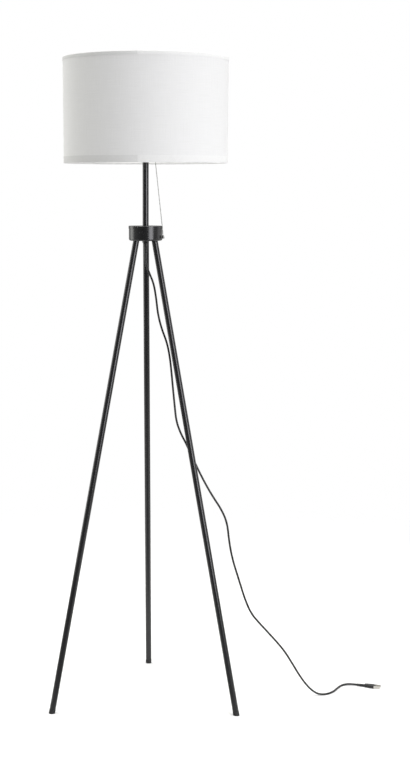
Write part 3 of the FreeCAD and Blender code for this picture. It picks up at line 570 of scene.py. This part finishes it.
def make_grip(place):
    """The plug's moulded grip, waisted towards the cord, with finger ridges on its wide faces."""
    start, long, level = 20 * MM, 25 * MM, 0.9 * MM
    slices = 26
    stations = []
    for i in range(slices + 1):
        share = i / slices
        ease = share * share * (3 - 2 * share)
        end = min(1, (share * 12) ** 0.5, ((1 - share) * 16) ** 0.5)
        ridge = 0.28 * math.sin(share * math.tau * 5) ** 2 if 0.2 < share < 0.8 else 0
        wide = (6.2 + 2.2 * ease) * (0.82 + 0.18 * end)
        high = (4.0 + 0.2 * ease + ridge) * (0.8 + 0.2 * end)
        stations.append((start + long * share, wide * MM, high * MM, level))
    grip = put("plug_grip", loft("plug_grip", stations, place), "black_cord", crease=50)
    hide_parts("plug_body")
    return grip


def make_neck(place):
    """The plug's ribbed strain relief, from just behind the cord's end into the grip."""
    turn = place @ Matrix.Rotation(math.radians(90), 4, "Y")
    outline = [(0, -0.5 * MM), (2.7 * MM, -0.5 * MM)]
    for rib in range(5):
        base, wide = 0.6 + 3.8 * rib, 3.05 + 0.16 * rib
        for out, up in ((-0.35, 0), (0, 0.5), (0, 2.4), (-0.35, 2.9)):
            outline.append(((wide + out) * MM, (base + up) * MM))
    outline += [(3.55 * MM, 20.2 * MM), (0, 20.2 * MM)]
    neck = put("plug_neck", lathe("plug_neck", outline, even_turns(40), place=turn), "black_cord")
    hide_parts("plug_relief")
    return neck


def make_power_cord(pieces):
    """The mains cord along its route. pieces, the pieces that are on it, is not used."""
    points = [Vector(point) * MM + STEM for point in CORD_ROUTE]
    piece = put("mains_cord", nurbs("mains_cord", points, CORD_RADIUS), "black_cord")
    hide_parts("power_cord")


relief = make_relief()
plug_place = plug_frame()
make_power_cord([relief, make_grip(plug_place), make_neck(plug_place), "plug_blades"])


# ---------------------------------------------------------------- pull chain

def make_pull_chain():
    """Hollow beads on short links, from the switch over the hub's rim to the pull."""
    out = Vector((math.cos(CHAIN_AZIMUTH), math.sin(CHAIN_AZIMUTH), 0))
    points = [STEM + out * (reach * MM) + Vector((0, 0, height * MM)) for reach, height in CHAIN_ROUTE]
    guide = nurbs("chain_line", points, 0)
    path = line_of(guide)
    bpy.data.curves.remove(guide)
    half = [(0.5, 1.1), (0.88, 0.82), (1.13, 0.42)]          # (radius, height) from a bead's middle, mm
    link = [(0.32, 1.2), (0.32, 1.9), (0, 1.9)]
    bead = [(0, -1.2)] + [(radius, -level) for radius, level in half] + [(1.2, 0)] + half[::-1] + link
    points, faces, sides = [], [], 14
    for spot, heading in along(path, CHAIN_PITCH):
        turn = Matrix.Translation(spot) @ heading.to_track_quat("Z", "Y").to_matrix().to_4x4()
        base = len(points)
        for radius, level in bead:
            for i in range(sides):
                angle = math.tau * i / sides
                local = Vector((radius * math.cos(angle), radius * math.sin(angle), level))
                points.append(turn @ (local * MM))
        for ring in range(len(bead) - 1):
            for i in range(sides):
                j = (i + 1) % sides
                low, high = base + ring * sides, base + (ring + 1) * sides
                faces.append((low + i, low + j, high + j, high + i))
    mesh = bpy.data.meshes.new("ball_chain")
    mesh.from_pydata(points, [], faces)
    clean(mesh)
    piece = put("ball_chain", mesh, "ball_chain", "chain", crease=70)
    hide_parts("pull_chain")


make_pull_chain()


# ---------------------------------------------------------------- return spring

def make_return_spring():
    """The switch's spring round the chain, with its end turns closed. Pulling the chain presses it."""
    low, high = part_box("return_spring")
    wire, turns, closed, steps, sides = 0.25 * MM, 7.0, 1.0, 24, 8
    centre = (low + high) / 2
    radius = (high.x - low.x) / 2 - wire
    rise = high.z - low.z - 2 * wire
    end_rise = closed * 2.1 * wire
    points, faces = [], []
    count = int(turns * steps) + 1
    for i in range(count):
        turn = i / steps
        if turn < closed:
            level = end_rise * turn / closed
        elif turn > turns - closed:
            level = rise - end_rise * (turns - turn) / closed
        else:
            level = end_rise + (rise - 2 * end_rise) * (turn - closed) / (turns - 2 * closed)
        out = Vector((math.cos(math.tau * turn), math.sin(math.tau * turn), 0))
        spot = Vector((centre.x, centre.y, low.z + wire + level)) + out * radius
        for j in range(sides):
            angle = math.tau * j / sides
            points.append(spot + (out * math.cos(angle) + Vector((0, 0, math.sin(angle)))) * wire)
    for i in range(count - 1):
        for j in range(sides):
            following = (j + 1) % sides
            faces.append((i * sides + j, i * sides + following,
                          (i + 1) * sides + following, (i + 1) * sides + j))
    faces.append(tuple(range(sides)))
    faces.append(tuple((count - 1) * sides + j for j in range(sides)))
    mesh = bpy.data.meshes.new("pressed_spring")
    mesh.from_pydata(points, [], faces)
    clean(mesh)
    piece = put("pressed_spring", mesh, "zinc_plated_steel", crease=70)
    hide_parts("return_spring")
    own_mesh(piece)


make_return_spring()


# ---------------------------------------------------------------- floor, light and camera

def make_floor():
    """A disc under the lamp, white as far as the picture reaches."""
    mesh = bpy.data.meshes.new("floor")
    work = bmesh.new()
    bmesh.ops.create_circle(work, cap_ends=True, segments=96, radius=3.6)
    work.to_mesh(mesh)
    work.free()
    floor = bpy.data.objects.new("floor", mesh)
    floor.location = (STEM.x, STEM.y, 0)
    bpy.context.scene.collection.objects.link(floor)
    pale = plain_floor("pale_floor", clear_radius=0.9, fade_radius=2.3, front=0.2, rear=0.8)
    mesh.materials.append(pale)


def soft_box(name, azimuth, distance, height, wide, high, radiance, color):
    """An area light that faces the stem, at an azimuth from the front towards +X. The camera
    doesn't see it, so that it can stand close."""
    lamp = bpy.data.lights.new(name, "AREA")
    lamp.shape = "RECTANGLE"
    lamp.size, lamp.size_y = wide, high
    lamp.energy = radiance * math.pi * wide * high
    lamp.color = color
    box = bpy.data.objects.new(name, lamp)
    turn = math.radians(azimuth)
    spot = STEM + Vector((math.sin(turn), -math.cos(turn), 0)) * distance + Vector((0, 0, height))
    box.location = spot
    target = STEM + Vector((0, 0, min(height, 1.2)))
    box.rotation_euler = (target - spot).to_track_quat("-Z", "Y").to_euler()
    box.visible_camera = False
    bpy.context.scene.collection.objects.link(box)


def make_world(seen, front, rear):
    """A white backdrop that lights the lamp less than it shows, and least from the front."""
    world = bpy.data.worlds.new("studio")
    world.use_nodes = True
    tree = world.node_tree
    tree.nodes.clear()
    direction = node(tree, "ShaderNodeTexCoord").outputs["Generated"]
    rearward = node(tree, "ShaderNodeSeparateXYZ", {0: direction}).outputs["Y"]
    light = remap(tree, rearward, (-1.0, 0.3), (front, rear))
    dim = node(tree, "ShaderNodeBackground", {"Color": (1, 0.995, 0.975, 1), "Strength": light})
    bright = node(tree, "ShaderNodeBackground", {"Color": (1, 1, 1, 1), "Strength": seen})
    ray = node(tree, "ShaderNodeLightPath").outputs["Is Camera Ray"]
    mixed = node(tree, "ShaderNodeMixShader", {0: ray, 1: dim.outputs[0], 2: bright.outputs[0]})
    node(tree, "ShaderNodeOutputWorld", {"Surface": mixed.outputs[0]})
    bpy.context.scene.world = world


def make_camera():
    """At the photograph's viewpoint: the lens is for a 36 mm sensor along the picture's long side."""
    distance, eye_level, pitch_down = 3.5954, 1.2914, 7.681
    data = bpy.data.cameras.new("camera")
    data.lens = 69.1
    data.sensor_width = 36
    data.shift_x = 0.0777
    camera = bpy.data.objects.new("camera", data)
    camera.location = STEM + Vector((0, -distance, eye_level))
    camera.rotation_euler = (math.radians(90 - pitch_down), 0, 0)
    bpy.context.scene.collection.objects.link(camera)
    bpy.context.scene.camera = camera


# name: azimuth in degrees, distance from the stem, height, width, length, brightness, colour
SOFT_BOXES = {
    "key": (37, 2.6, 1.3, 1.3, 2.0, 5.3, (0.96, 0.962, 1.0)),
    "side": (-108, 2.4, 1.35, 1.4, 2.2, 2.3, (0.995, 1.0, 0.965)),
    "right": (110, 2.4, 1.1, 1.8, 1.2, 0.5, (0.94, 0.945, 1.0)),
    "overhead": (0, 0.01, 4.8, 3.2, 3.2, 6.2, (1.0, 0.998, 0.985)),
}

make_floor()
for name, settings in SOFT_BOXES.items():
    soft_box(name, *settings)
make_world(seen=1.0, front=0.12, rear=0.62)
make_camera()
bpy.context.scene.view_settings.view_transform = "Standard"
